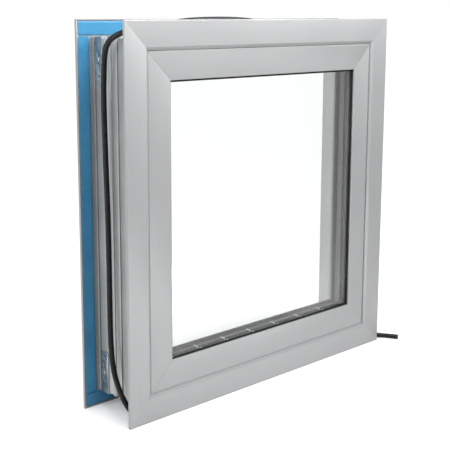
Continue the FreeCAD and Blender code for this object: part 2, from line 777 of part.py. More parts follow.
# The cord lies loosely round the box in the wall groove: up the right side, over the top, down
# the left side, along the ground under the box, and out at the lower right.
CORD_ROUTE = [
    (287, 64.8, 36), (284.5, 72.8, 108), (281.5, 76.8, 200), (281, 76.8, 300), (281.5, 75.8, 395),
    (285, 72.8, 470), (290.5, 67.8, 531), (291.5, 62.8, 568.7), (281.3, 60.2, 586.3),
    (263.7, 59.2, 596.5), (236, 59.8, 592), (200, 61.2, 584.5), (140, 61.8, 580.8), (76, 58.8, 585.5),
    (16, 53.8, 596.8), (-42, 48.8, 599.8), (-100, 42.8, 599.8), (-158, 33.8, 598), (-205, 20.8, 592.6),
    (-252, 9.1, 592), (-269, 10.9, 588.7), (-281.5, 20.8, 583.5), (-287, 34.8, 577.3),
    (-288.7, 46.8, 570), (-289.5, 55, 557.5), (-288, 60, 533), (-286.5, 64.2, 490),
    (-285, 64.4, 410), (-284.5, 62, 325), (-284.5, 61, 240), (-285.5, 60, 170),
    (-286.5, 58.2, 112), (-288, 50.5, 74), (-289.5, 36.5, 50), (-290, 21.5, 33), (-283, 13.8, 16.5),
    (-267.5, 10.8, 6.2), (-240, 13.2, 4.6), (-196, 21.8, 4.5), (-120, 35.8, 4.6), (-30, 43.8, 4.4),
    (66, 42.8, 4.6), (154, 46.8, 4.4), (232, 44.8, 4.5), (287, 33.2, 4.6), (317, 6.2, 4.4),
    (333, -27.8, 4.4)]


def cord_tube():
    """The cord's straight runs joined by tangent arcs, swept as one round tube."""
    points = [Vector(*point) for point in CORD_ROUTE]
    runs = [after - before for before, after in zip(points, points[1:])]
    edges = []
    radii = []
    start = points[0]
    for index in range(1, len(points) - 1):
        before, after = runs[index - 1], runs[index]
        half_turn = before.getAngle(after) / 2
        setback = 0.45 * min(before.Length, after.Length)
        radius = setback / math.tan(half_turn)
        radii.append(radius)
        into = points[index] - Vector(before).normalize() * setback
        away = points[index] + Vector(after).normalize() * setback
        toward = ((into + away) * 0.5 - points[index]).normalize()
        middle = points[index] + toward * (radius / math.cos(half_turn) - radius)
        edges.append(Part.LineSegment(start, into).toShape())
        edges.append(Part.Arc(into, middle, away).toShape())
        start = away
    edges.append(Part.LineSegment(start, points[-1]).toShape())
    path = Part.Wire(edges)
    ring = Part.Circle(points[0], runs[0], dim("cord_diameter").value / 2)
    tube = path.makePipeShell([Part.Wire(ring.toShape())], True, False)
    print("cord runs", [round(run.Length) for run in runs])
    print("cord radii", [round(radius) for radius in radii])
    expected = path.Length * math.pi * dim("cord_diameter").value ** 2 / 4
    print("cord length %.1f volume %.0f expected %.0f" % (path.Length, tube.Volume, expected))
    return tube


def make_cord():
    """The rubber cord that seals the window in the wall."""
    cord = doc.addObject("Part::Feature", "cord_tube")
    cord.Shape = cord_tube()
    cord.Label = "sealing_cord"
    nodes[cord.Label] = cord


# ---------------------------------------------------------------- build and write

def check_and_write():
    """Check every object and every node's shape, then write one file per node."""
    for item in doc.Objects:
        if "Invalid" in item.State or "Error" in item.State:
            raise RuntimeError("%s is %s" % (item.Name, item.State))
    for label, piece in nodes.items():
        if piece.Shape.isNull() or not piece.Shape.isValid() or not piece.Shape.Solids:
            raise RuntimeError("%s has a bad shape" % label)
    os.makedirs("parts", exist_ok=True)
    for label, piece in nodes.items():
        piece.Shape.exportStep("parts/%s.step" % label)
    print(len(nodes), "nodes")
    print("axis %.3f %.3f pivot %.3f %.3f shoe %.3f %.3f worm %.3f %.3f" % (
        axis_x, axis_y + HOME.y, pivot_x, pivot_y + HOME.y, shoe_x, shoe_y + HOME.y,
        worm_x, worm_z))


make_casings()
make_box_frames()
make_film()
make_brackets()
make_cleats("frame_cleats", box_inset + 6.5, 7.5, 14, 28, 45)
make_sash_rails()
make_cleats("sash_cleats", sash_body + 4.5, 7, 16, 26, 40)
make_glazing()
make_beads()
make_hinge()
make_weather_gasket()
make_housing()
make_worm_wheel()
make_worm()
make_arm()
make_crank()
make_cord()
doc.recompute()
check_and_write()
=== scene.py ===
"""The looks of a square wall-clamp window: its surfaces, finishes, camera and studio."""
import json
import logging
import math
from dataclasses import dataclass, field
from enum import Enum
from typing import Callable, Dict, Iterable, List, Optional, Sequence, Tuple, Union

import bmesh
import bpy
from mathutils import Matrix, Vector, noise


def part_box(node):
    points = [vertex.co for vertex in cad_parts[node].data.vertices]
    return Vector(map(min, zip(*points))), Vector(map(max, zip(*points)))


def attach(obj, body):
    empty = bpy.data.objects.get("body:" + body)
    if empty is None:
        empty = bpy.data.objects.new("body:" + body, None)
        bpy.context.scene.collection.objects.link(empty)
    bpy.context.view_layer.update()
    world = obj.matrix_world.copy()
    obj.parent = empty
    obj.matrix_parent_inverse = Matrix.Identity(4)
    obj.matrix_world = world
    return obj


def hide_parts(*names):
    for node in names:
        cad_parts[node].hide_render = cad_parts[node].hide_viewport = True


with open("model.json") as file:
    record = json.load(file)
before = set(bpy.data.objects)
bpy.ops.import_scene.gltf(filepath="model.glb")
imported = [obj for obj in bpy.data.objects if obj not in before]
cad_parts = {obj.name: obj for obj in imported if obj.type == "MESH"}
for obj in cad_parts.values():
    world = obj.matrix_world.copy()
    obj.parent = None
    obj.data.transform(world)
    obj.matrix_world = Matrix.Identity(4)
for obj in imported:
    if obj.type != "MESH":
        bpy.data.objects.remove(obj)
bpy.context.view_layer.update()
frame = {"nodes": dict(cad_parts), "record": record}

log = logging.getLogger("window")

MM = 0.001
HALF_SIZE = 0.300
WELD = 2e-6
HAIR = 0.05 * MM
CENTRE = Vector((0.0, 0.0, 0.300))
ORIGIN_SHIFT = -3.25 * MM
SIDES = ("bottom", "left", "top", "right")

Colour = Tuple[float, float, float]
Profile = List[Tuple[float, float]]


class Slot(Enum):
    """The material slots that the window's pieces take their finish from."""

    COATED = "coated_aluminium"
    MILL = "mill_aluminium"
    FILM = "blue_film"
    ZINC = "zinc_steel"
    RUBBER = "black_rubber"
    CORD = "cord_rubber"
    GLASS = "clear_glass"
    SPACER = "spacer_aluminium"
    NYLON = "grey_nylon"
    CAST = "cast_zinc"
    BRONZE = "bronze"
    KNOB = "knob_plastic"


class Run(Enum):
    """Which way a profile was drawn; the value stretches the grain along it."""

    LEVEL = (0.02, 1.0, 1.0)
    UPRIGHT = (1.0, 1.0, 0.02)


class Facing(Enum):
    """Which way a screw's head looks."""

    OUTWARD = "outward"
    UP = "up"


# ---------------------------------------------------------------- shader graph


class Socket:
    """One output of a shader node, on which arithmetic adds Math nodes."""

    def __init__(self, graph: "Graph", output: bpy.types.NodeSocket) -> None:
        """Keep the graph and the output.

        Args:
            graph: the graph that the node is in.
            output: the node's output socket.
        """
        self.graph = graph
        self.output = output

    def _math(self, operation: str, first: "Value", second: "Value") -> "Socket":
        """Add one Math node.

        Args:
            operation: the Math node's operation.
            first: its first operand.
            second: its second operand.

        Returns:
            The result's socket.
        """
        return self.graph.node("ShaderNodeMath", {"operation": operation}, {0: first, 1: second})

    def __add__(self, other: "Value") -> "Socket":
        """Return self + other."""
        return self._math("ADD", self, other)

    def __radd__(self, other: "Value") -> "Socket":
        """Return other + self."""
        return self._math("ADD", other, self)

    def __sub__(self, other: "Value") -> "Socket":
        """Return self - other."""
        return self._math("SUBTRACT", self, other)

    def __rsub__(self, other: "Value") -> "Socket":
        """Return other - self."""
        return self._math("SUBTRACT", other, self)

    def __mul__(self, other: "Value") -> "Socket":
        """Return self * other."""
        return self._math("MULTIPLY", self, other)

    def __rmul__(self, other: "Value") -> "Socket":
        """Return other * self."""
        return self._math("MULTIPLY", other, self)

    def __mod__(self, other: "Value") -> "Socket":
        """Return self modulo other, never negative."""
        return self._math("FLOORED_MODULO", self, other)

    def above(self, limit: "Value") -> "Socket":
        """Return one where self is above the limit, and nought elsewhere."""
        return self._math("GREATER_THAN", self, limit)


Value = Union[Socket, float]


class Graph:
    """One material's node tree, and the few nodes that the finishes are made of."""

    def __init__(self, name: str) -> None:
        """Start an empty material.

        Args:
            name: the material's name.
        """
        self.material = bpy.data.materials.new(name)
        self.material.use_nodes = True
        self.tree = self.material.node_tree
        self.tree.nodes.clear()

    def node(self, kind: str, settings: Dict[str, object],
             inputs: Dict[Union[int, str], object], output: Union[int, str] = 0) -> Socket:
        """Add one node.

        Args:
            kind: the node's type.
            settings: its properties, set first.
            inputs: values or sockets for its inputs.
            output: which of its outputs to return.

        Returns:
            That output's socket.
        """
        made = self.tree.nodes.new(kind)
        for key, value in settings.items():
            setattr(made, key, value)
        for key, value in inputs.items():
            if isinstance(value, Socket):
                self.tree.links.new(value.output, made.inputs[key])
            else:
                made.inputs[key].default_value = value
        return Socket(self, made.outputs[output])

    def place(self) -> Socket:
        """Return the position on the window, in metres."""
        return self.node("ShaderNodeTexCoord", {}, {}, "Object")

    def squeezed(self, where: Socket, scale: Sequence[float]) -> Socket:
        """Return a position scaled by axis.

        Args:
            where: the position.
            scale: its scale along X, Y and Z.
        """
        return self.node("ShaderNodeMapping", {}, {"Vector": where, "Scale": tuple(scale)})

    def along(self, where: Socket, axis: str) -> Socket:
        """Return one of a position's axes as a value."""
        return self.node("ShaderNodeSeparateXYZ", {}, {0: where}, axis)

    def noise(self, where: Socket, scale: float, detail: float = 2.0,
              roughness: float = 0.5) -> Socket:
        """Return a cloudy value from nought to one.

        Args:
            where: the position.
            scale: waves in a metre.
            detail: how many finer layers it has.
            roughness: how strong those are.
        """
        return self.node("ShaderNodeTexNoise", {},
                         {"Vector": where, "Scale": scale, "Detail": detail,
                          "Roughness": roughness})

    def span(self, value: Socket, low: float, high: float, start: float = 0.0,
             end: float = 1.0) -> Socket:
        """Spread a value from one range to another, clamped.

        Args:
            value: the value.
            low: where the first range starts.
            high: where it ends.
            start: where the new range starts.
            end: where it ends.
        """
        return self.node("ShaderNodeMapRange", {},
                         {"Value": value, "From Min": low, "From Max": high,
                          "To Min": start, "To Max": end})

    def mixed(self, mask: Socket, first: Union[Socket, Colour],
              second: Union[Socket, Colour]) -> Socket:
        """Mix two colours.

        Args:
            mask: how much of the second colour shows.
            first: the first colour.
            second: the second colour.
        """
        return self.node("ShaderNodeMix", {"data_type": "RGBA"},
                         {0: mask, 6: opaque(first), 7: opaque(second)}, 2)

    def bump(self, height: Socket, depth: float, under: Optional[Socket] = None,
             strength: float = 1.0) -> Socket:
        """Turn a height into a normal.

        Args:
            height: the height, from nought to one.
            depth: how far one stands above nought, in metres.
            under: the normal that it lies on.
            strength: how much of it shows.
        """
        inputs: Dict[Union[int, str], object] = {
            "Height": height, "Distance": depth, "Strength": strength}
        if under is not None:
            inputs["Normal"] = under
        return self.node("ShaderNodeBump", {}, inputs)

    def surface(self, **inputs: object) -> Socket:
        """Return a principled surface; underscores in the names stand for spaces."""
        named = {key.replace("_", " "): opaque(value) for key, value in inputs.items()}
        return self.node("ShaderNodeBsdfPrincipled", {}, named)

    def finished(self, surface: Socket) -> bpy.types.Material:
        """Wire the surface to the output and return the material."""
        made = self.tree.nodes.new("ShaderNodeOutputMaterial")
        self.tree.links.new(surface.output, made.inputs["Surface"])
        return self.material


def opaque(value: object) -> object:
    """Give a plain colour its fourth number, and leave anything else as it is."""
    if isinstance(value, tuple) and len(value) == 3:
        return (*value, 1.0)
    return value


# ---------------------------------------------------------------- finishes


@dataclass(frozen=True)
class CoatedAluminium:
    """Satin silver-grey powder coat on drawn profiles."""

    name: str
    run: Run
    light: Colour = (0.262, 0.266, 0.267)
    dark: Colour = (0.236, 0.240, 0.243)
    metallic: float = 0.35
    roughness: float = 0.42

    def build(self) -> bpy.types.Material:
        """Return the material: die lines, cloudy tone, fine grain and handling marks."""
        graph = Graph(self.name)
        where = graph.place()
        drawn = graph.noise(graph.squeezed(where, self.run.value), 420.0, 3.0, 0.6)
        cloud = graph.noise(where, 6.0, 3.0)
        grain = graph.noise(where, 2600.0, 1.0)
        marks = graph.span(graph.noise(where, 34.0, 5.0, 0.62), 0.60, 0.74)
        tone = graph.span(drawn * 0.30 + cloud * 0.50 + grain * 0.20, 0.36, 0.64)
        colour = graph.mixed(tone, self.dark, self.light)
        return graph.finished(graph.surface(
            Base_Color=colour,
            Metallic=self.metallic,
            Roughness=self.roughness + drawn * 0.05 + marks * 0.06 + (cloud - 0.5) * 0.06,
            Normal=graph.bump(grain, 0.00003, graph.bump(drawn, 0.00003, None, 0.5), 0.35)))


@dataclass(frozen=True)
class MillAluminium:
    """Bare drawn aluminium of the box and its cleats."""

    name: str
    run: Run
    light: Colour = (0.36, 0.37, 0.365)
    dark: Colour = (0.30, 0.31, 0.305)

    def build(self) -> bpy.types.Material:
        """Return the material: fine die lines and dull patches."""
        graph = Graph(self.name)
        where = graph.place()
        drawn = graph.noise(graph.squeezed(where, self.run.value), 560.0, 3.0, 0.6)
        patch = graph.noise(where, 16.0, 3.0, 0.5)
        tone = graph.span(drawn * 0.5 + patch * 0.5, 0.34, 0.66)
        return graph.finished(graph.surface(
            Base_Color=graph.mixed(tone, self.dark, self.light),
            Metallic=0.55,
            Roughness=graph.span(patch, 0.3, 0.7, 0.40, 0.50),
            Normal=graph.bump(drawn, 0.00003, None, 0.5)))


@dataclass(frozen=True)
class ZincSteel:
    """Zinc-plated pressed steel with a fine spangle."""

    name: str
    light: Colour = (0.37, 0.395, 0.41)
    dark: Colour = (0.27, 0.29, 0.31)

    def build(self) -> bpy.types.Material:
        """Return the material: crystals of several greys, each with its own gloss."""
        graph = Graph(self.name)
        where = graph.place()
        crystal = graph.node("ShaderNodeTexVoronoi", {}, {"Vector": where, "Scale": 210.0}, 1)
        shade = graph.along(crystal, "X")
        cloud = graph.noise(where, 60.0, 4.0, 0.6)
        tone = graph.span(shade * 0.55 + cloud * 0.45, 0.2, 0.8)
        return graph.finished(graph.surface(
            Base_Color=graph.mixed(tone, self.dark, self.light),
            Metallic=0.88,
            Roughness=graph.span(shade, 0.0, 1.0, 0.24, 0.44),
            Normal=graph.bump(cloud, 0.0001, None, 0.5)))


@dataclass(frozen=True)
class BlueFilm:
    """Peel-off blue protective film, stuck down unevenly."""

    name: str
    deep: Colour = (0.026, 0.140, 0.262)
    pale: Colour = (0.046, 0.188, 0.330)

    def build(self) -> bpy.types.Material:
        """Return the material: paler where air is under it, with fine pulled ripples."""
        graph = Graph(self.name)
        where = graph.place()
        cloud = graph.noise(where, 26.0, 5.0, 0.6)
        ripple = graph.noise(graph.squeezed(where, (1.0, 1.0, 3.5)), 90.0, 3.0, 0.55)
        speck = graph.span(graph.noise(where, 520.0, 2.0), 0.62, 0.72)
        tone = graph.span(cloud * 0.7 + ripple * 0.3, 0.36, 0.68)
        colour = graph.mixed(speck * 0.15, graph.mixed(tone, self.deep, self.pale),
                             (0.11, 0.27, 0.38))
        return graph.finished(graph.surface(
            Base_Color=colour,
            Roughness=graph.span(ripple, 0.3, 0.7, 0.30, 0.42),
            Specular_IOR_Level=0.3,
            Normal=graph.bump(ripple, 0.00012, graph.bump(speck, 0.00003), 0.6)))


@dataclass(frozen=True)
class Rubber:
    """Black rubber, glossy on the cord and duller on the gaskets."""

    name: str
    dust: float
    gloss: float
    ripple: float
    specular: float = 0.5
    black: Colour = (0.004, 0.004, 0.0045)
    grey: Colour = (0.026, 0.026, 0.027)

    def build(self) -> bpy.types.Material:
        """Return the material: moulded ripples, dust, and specks of talc."""
        graph = Graph(self.name)
        where = graph.place()
        cloud = graph.noise(where, 48.0, 4.0, 0.6)
        speck = graph.span(graph.noise(where, 900.0, 2.0), 0.66, 0.76)
        wave = graph.noise(where, 150.0, 2.0, 0.5)
        tone = graph.span(cloud, 0.35, 0.75, 0.0, self.dust) + speck * (self.dust * 0.8)
        return graph.finished(graph.surface(
            Base_Color=graph.mixed(tone, self.black, self.grey),
            Roughness=graph.span(cloud * 0.6 + wave * 0.4, 0.3, 0.7, self.gloss,
                                 self.gloss + 0.16),
            Specular_IOR_Level=self.specular,
            Normal=graph.bump(wave, self.ripple, graph.bump(speck, 0.00006), 0.8)))


@dataclass(frozen=True)
class ClearGlass:
    """Clear float glass: see-through face on, mirror-like at a glance."""

    name: str
    tint: Colour = (0.994, 0.998, 0.996)

    def build(self) -> bpy.types.Material:
        """Return the material: a clear pane under a thin reflection with faint smears."""
        graph = Graph(self.name)
        where = graph.place()
        smear = graph.span(graph.noise(graph.squeezed(where, (1.0, 1.0, 0.3)), 14.0, 4.0),
                           0.45, 0.75, 0.0, 0.02)
        glance = graph.node("ShaderNodeLayerWeight", {}, {"Blend": 0.5}, "Facing")
        clear = graph.node("ShaderNodeBsdfTransparent", {}, {"Color": opaque(self.tint)})
        mirror = graph.surface(Base_Color=(0.96, 0.965, 0.965), Metallic=1.0, Roughness=0.03)
        return graph.finished(graph.node(
            "ShaderNodeMixShader", {},
            {0: glance * glance * glance * 0.8 + 0.02 + smear, 1: clear, 2: mirror}))


@dataclass(frozen=True)
class SpacerMetal:
    """Rolled aluminium spacer bar, near white on the uprights as painted light, and dark where
    it lies level as painted shade.
    """

    name: str
    light: Colour
    dark: Colour
    metallic: float
    ticks: float

    def build(self) -> bpy.types.Material:
        """Return the material: rolling marks, and pale ticks along a level bar."""
        graph = Graph(self.name)
        where = graph.place()
        rolled = graph.noise(where, 640.0, 3.0, 0.6)
        cloud = graph.noise(where, 30.0, 3.0)
        tick = 1.0 - ((graph.along(where, "X") + 0.5) % 0.060).above(0.0022)
        tone = graph.span(rolled * 0.5 + cloud * 0.5, 0.35, 0.65)
        colour = graph.mixed(tick * self.ticks, graph.mixed(tone, self.dark, self.light),
                             (0.95, 0.95, 0.94))
        return graph.finished(graph.surface(
            Base_Color=colour,
            Metallic=self.metallic,
            Roughness=graph.span(cloud, 0.3, 0.7, 0.30, 0.42),
            Normal=graph.bump(rolled, 0.00005, None, 0.5)))


@dataclass(frozen=True)
class Moulding:
    """A moulded, cast or machined finish of one colour with its own fine skin."""

    name: str
    light: Colour
    dark: Colour
    metallic: float
    roughness: float
    skin: float
    depth: float
    coat: float = 0.0

    def build(self) -> bpy.types.Material:
        """Return the material: a fine skin over a slightly uneven tone."""
        graph = Graph(self.name)
        where = graph.place()
        skin = graph.noise(where, self.skin, 3.0, 0.55)
        cloud = graph.noise(where, 45.0, 4.0, 0.6)
        tone = graph.span(cloud * 0.7 + skin * 0.3, 0.34, 0.68)
        return graph.finished(graph.surface(
            Base_Color=graph.mixed(tone, self.dark, self.light),
            Metallic=self.metallic,
            Roughness=self.roughness + (cloud - 0.5) * 0.14,
            Coat_Weight=self.coat,
            Normal=graph.bump(skin, self.depth, None, 0.6)))


class Palette:
    """Every finish of the window, built once and picked by slot and run."""

    def __init__(self) -> None:
        """Build all the finishes."""
        self.finishes: Dict[Tuple[Slot, Run], bpy.types.Material] = {}
        for run in Run:
            tag = run.name.lower()
            self.finishes[(Slot.COATED, run)] = CoatedAluminium("satin_coat_" + tag, run).build()
            self.finishes[(Slot.MILL, run)] = MillAluminium("mill_finish_" + tag, run).build()
        # Painted light and shade: the level bars get a dark copy of the spacer metal and the
        # uprights a near-white copy, for how light falls on them.
        self.finishes[(Slot.SPACER, Run.LEVEL)] = SpacerMetal(
            "spacer_level_painted_shade", (0.115, 0.115, 0.115), (0.070, 0.070, 0.072), 0.4, 1.0).build()
        self.finishes[(Slot.SPACER, Run.UPRIGHT)] = SpacerMetal(
            "spacer_upright_painted_light", (0.95, 0.95, 0.92), (0.86, 0.87, 0.85), 0.1, 0.0).build()
        single = {
            Slot.FILM: BlueFilm("blue_film"),
            Slot.ZINC: ZincSteel("zinc_plate"),
            Slot.RUBBER: Rubber("gasket_rubber", 0.20, 0.45, 0.00008, 0.15),
            Slot.CORD: Rubber("cord_rubber", 0.20, 0.17, 0.00020, 0.18),
            Slot.GLASS: ClearGlass("clear_glass"),
            Slot.NYLON: Moulding("grey_nylon", (0.27, 0.28, 0.29), (0.20, 0.21, 0.22),
                                 0.0, 0.45, 900.0, 0.00005),
            Slot.CAST: Moulding("painted_casting", (0.50, 0.51, 0.52), (0.42, 0.43, 0.44),
                                0.4, 0.38, 1500.0, 0.00005, 0.2),
            Slot.BRONZE: Moulding("machined_bronze", (0.62, 0.44, 0.20), (0.42, 0.29, 0.14),
                                  0.95, 0.30, 1200.0, 0.00004),
            Slot.KNOB: Moulding("black_knob", (0.040, 0.040, 0.043), (0.022, 0.022, 0.024),
                                0.0, 0.36, 1800.0, 0.00005),
        }
        for slot, finish in single.items():
            material = finish.build()
            for run in Run:
                self.finishes[(slot, run)] = material

        # Painted shade: a near-black finish laid on the frames' grooves where shadow falls in
        # them.
        self.shade = Moulding("groove_painted_shade", (0.035, 0.036, 0.038), (0.018, 0.018, 0.019),
                              0.2, 0.6, 900.0, 0.00004).build()

    def pick(self, slot: Slot, run: Run = Run.LEVEL) -> bpy.types.Material:
        """Return the finish of a slot and run."""
        return self.finishes[(slot, run)]


# ---------------------------------------------------------------- mesh tools


def run_of(node: str) -> Run:
    """Return which way a node's profile runs, from the side in its name."""
    return Run.UPRIGHT if node.endswith(("_left", "_right")) else Run.LEVEL


def turned(side: str) -> Matrix:
    """Return the turn that takes the bottom side to another side.

    Args:
        side: one of SIDES.

    Returns:
        A turn about the middle of the window.
    """
    turn = Matrix.Rotation(math.radians(90.0 * SIDES.index(side)), 4, "Y")
    return Matrix.Translation(CENTRE) @ turn @ Matrix.Translation(-CENTRE)


def new_object(name: str, shape: bmesh.types.BMesh, smooth: bool = True) -> bpy.types.Object:
    """Make an object from an edit mesh and free the edit mesh.

    Args:
        name: the object's name.
        shape: the edit mesh.
        smooth: whether its faces are shaded smooth.

    Returns:
        The object, in the scene.
    """
    bmesh.ops.recalc_face_normals(shape, faces=shape.faces)
    mesh = bpy.data.meshes.new(name)
    shape.to_mesh(mesh)
    shape.free()
    if smooth:
        mesh.shade_smooth()
    piece = bpy.data.objects.new(name, mesh)
    bpy.context.scene.collection.objects.link(piece)
    return piece


def settle(piece: bpy.types.Object, body: str, finish: bpy.types.Material,
           nodes: Iterable[str]) -> bpy.types.Object:
    """Put a piece on its body, in place of its nodes, in its finish.

    Args:
        piece: the piece.
        body: the body it rides on.
        finish: its material.
        nodes: the nodes it stands for.

    Returns:
        The piece.
    """
    piece.data.materials.clear()
    piece.data.materials.append(finish)
    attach(piece, body)
    names = list(nodes)
    if names:
        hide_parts(*names)
    log.info("%s rides on %s for %s", piece.name, body, names)
    return piece


def node_shape(node: str) -> bmesh.types.BMesh:
    """Return a node's mesh as an edit mesh with whole flat faces.

    Args:
        node: the node's name.

    Returns:
        The edit mesh.
    """
    shape = bmesh.new()
    shape.from_mesh(frame["nodes"][node].data)
    bmesh.ops.remove_doubles(shape, verts=shape.verts, dist=WELD)
    bmesh.ops.dissolve_limit(shape, angle_limit=math.radians(0.5), verts=shape.verts,
                             edges=shape.edges)
    return shape


def add_rounding(piece: bpy.types.Object, width: float, segments: int = 2) -> None:
    """Round a piece's sharp edges.

    Args:
        piece: the piece.
        width: how wide the rounding is.
        segments: how many faces go round it.
    """
    bevel = piece.modifiers.new("rounded_edges", "BEVEL")
    bevel.width = width
    bevel.segments = segments
    bevel.limit_method = "ANGLE"
    bevel.angle_limit = math.radians(28.0)
    bevel.use_clamp_overlap = True
    bevel.harden_normals = True


def softened(node: str, width: float, palette: Palette,
             reshape: Optional[Callable[[bmesh.types.BMesh], None]] = None,
             segments: int = 2) -> bpy.types.Object:
    """Put a copy of a node in its place, with its edges rounded.

    Args:
        node: the node's name.
        width: how wide the rounding is.
        palette: the finishes.
        reshape: a further change to the copy's mesh.
        segments: how many faces go round an edge.

    Returns:
        The copy.
    """
    shape = node_shape(node)
    if reshape is not None:
        reshape(shape)
    piece = new_object(node + "_finished", shape)
    add_rounding(piece, width, segments)
    slot = slot_of(node)
    return settle(piece, body_of(node), palette.pick(slot, run_of(node)), [node])


def slot_of(node: str) -> Slot:
    """Return the material slot that the record gives a node."""
    for part in frame["record"]["subparts"]:
        if part["node"] == node:
            return Slot(part["material_slot"])
    raise KeyError(node)


def body_of(node: str) -> str:
    """Return the body that a node rides on."""
    for body, members in frame["record"]["behaviour"]["bodies"].items():
        if node in members:
            return body
    raise KeyError(node)


def islands(node: str) -> List[Tuple[Vector, Vector]]:
    """Return the lowest and highest corners of each separate solid in a node.

    Args:
        node: the node's name.

    Returns:
        A pair of corners for each solid.
    """
    shape = bmesh.new()
    shape.from_mesh(frame["nodes"][node].data)
    bmesh.ops.remove_doubles(shape, verts=shape.verts, dist=WELD)
    left = set(shape.verts)
    found = []
    while left:
        queue = [left.pop()]
        group = []
        while queue:
            vertex = queue.pop()
            group.append(vertex.co.copy())
            for edge in vertex.link_edges:
                other = edge.other_vert(vertex)
                if other in left:
                    left.remove(other)
                    queue.append(other)
        low = Vector([min(point[axis] for point in group) for axis in range(3)])
        high = Vector([max(point[axis] for point in group) for axis in range(3)])
        found.append((low, high))
    shape.free()
    return sorted(found, key=lambda pair: tuple(pair[0]))


def swept_ring(shape: bmesh.types.BMesh, profile: Profile) -> None:
    """Sweep a closed profile round the window with mitred corners.

    Args:
        shape: the edit mesh that it goes in.
        profile: points as (inset from the window's edge, depth) in metres.
    """
    rings = []
    for across, up in ((-1, -1), (1, -1), (1, 1), (-1, 1)):
        ring = []
        for inset, depth in profile:
            reach = HALF_SIZE - inset
            ring.append(shape.verts.new((across * reach, depth, CENTRE.z + up * reach)))
        rings.append(ring)
    count = len(profile)
    for here, there in zip(rings, rings[1:] + rings[:1]):
        for index in range(count):
            after = (index + 1) % count
            shape.faces.new((here[index], here[after], there[after], there[index]))


def arc(centre: Tuple[float, float], radii: Tuple[float, float], start: float, end: float,
        steps: int) -> Profile:
    """Return points along part of an ellipse.

    Args:
        centre: its centre.
        radii: its two radii.
        start: the first angle, in degrees.
        end: the last angle, in degrees.
        steps: how many steps lie between them.

    Returns:
        The points.
    """
    points = []
    for index in range(steps + 1):
        angle = math.radians(start + (end - start) * index / steps)
        points.append((centre[0] + radii[0] * math.cos(angle),
                       centre[1] + radii[1] * math.sin(angle)))
    return points


# ---------------------------------------------------------------- the wall box


@dataclass
class WallBox:
    """The two casings, the box between them, its brackets, film and stop gasket."""

    palette: Palette
    casing_edge: float = 0.55 * MM
    film_side_edge: float = 0.25 * MM
    box_edge: float = 0.30 * MM
    bracket_edge: float = 0.30 * MM
    bracket_end: float = 5.0 * MM
    bracket_thickness: float = 2.0 * MM
    bracket_bend: float = 1.6 * MM
    leg_end: float = 208.0 * MM
    bend_at: float = 275.0 * MM
    gasket_width: float = 7.5 * MM
    gasket_root: float = 0.4 * MM
    rib_groove: Tuple[float, float] = (48.0 * MM, 51.0 * MM)
    rear_slot: Tuple[float, float] = (102.3 * MM, 105.3 * MM)

    def build(self) -> None:
        """Build every piece of the box."""
        for side in SIDES:
            softened("front_casing_" + side, self.casing_edge, self.palette)
            softened("rear_casing_" + side, self.film_side_edge, self.palette)
            for frame_node, groove in (("front_frame_", self.rib_groove),
                                       ("rear_frame_", self.rear_slot)):
                piece = softened(frame_node + side, self.box_edge, self.palette,
                                 lambda shape, groove=groove: self.mark_groove(shape, groove))
                # The second finish is painted shade in the groove.
                piece.data.materials.append(self.palette.shade)
        for corner in ("lower_left", "upper_left", "upper_right", "lower_right"):
            softened("corner_bracket_" + corner, self.bracket_edge, self.palette,
                     self.round_bracket)
        self.stop_gasket()

    def mark_groove(self, shape: bmesh.types.BMesh, groove: Tuple[float, float]) -> None:
        """Give a groove's faces the second finish, the painted groove shade.

        Args:
            shape: the frame's edit mesh.
            groove: how deep in the window it starts and ends.
        """
        near = HAIR
        for face in shape.faces:
            depths = [vertex.co.y - ORIGIN_SHIFT for vertex in face.verts]
            if min(depths) > groove[0] - near and max(depths) < groove[1] + near:
                face.material_index = 1

    def round_bracket(self, shape: bmesh.types.BMesh) -> None:
        """Round a bracket's leg ends and its bend.

        Args:
            shape: the bracket's edit mesh.
        """
        near = 0.01 * MM
        ends, bend = [], []
        for edge in shape.edges:
            first, second = (vertex.co for vertex in edge.verts)
            way = second - first
            at_end = any(abs(abs(first[axis] - CENTRE[axis]) - self.leg_end) < near
                         and abs(abs(second[axis] - CENTRE[axis]) - self.leg_end) < near
                         for axis in (0, 2))
            at_bend = all(abs(abs(point[axis] - CENTRE[axis]) - self.bend_at) < near
                          for axis in (0, 2) for point in (first, second))
            if at_end and abs(way.y) < near and way.length < self.bracket_thickness + near:
                ends.append(edge)
            elif at_bend:
                bend.append(edge)
        bmesh.ops.bevel(shape, geom=bend, offset=self.bracket_bend, segments=4,
                        profile=0.5, affect="EDGES", clamp_overlap=True)
        bmesh.ops.bevel(shape, geom=[edge for edge in ends if edge.is_valid],
                        offset=self.bracket_end, segments=6,
                        profile=0.5, affect="EDGES", clamp_overlap=True)

    def stop_gasket(self) -> None:
        """The hollow rubber bead on the frame's stop."""
        low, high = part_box("weather_gasket")
        outer_inset = HALF_SIZE - high.x
        half = self.gasket_width / 2
        root = high.y - self.gasket_root
        profile = [(outer_inset, high.y)]
        profile += arc((outer_inset + half, root), (half, root - low.y), 180.0, 360.0, 12)
        profile.append((outer_inset + self.gasket_width, high.y))
        shape = bmesh.new()
        swept_ring(shape, profile)
        piece = new_object("stop_gasket", shape)
        add_rounding(piece, HAIR, 1)
        settle(piece, "frame", self.palette.pick(Slot.RUBBER), ["weather_gasket"])


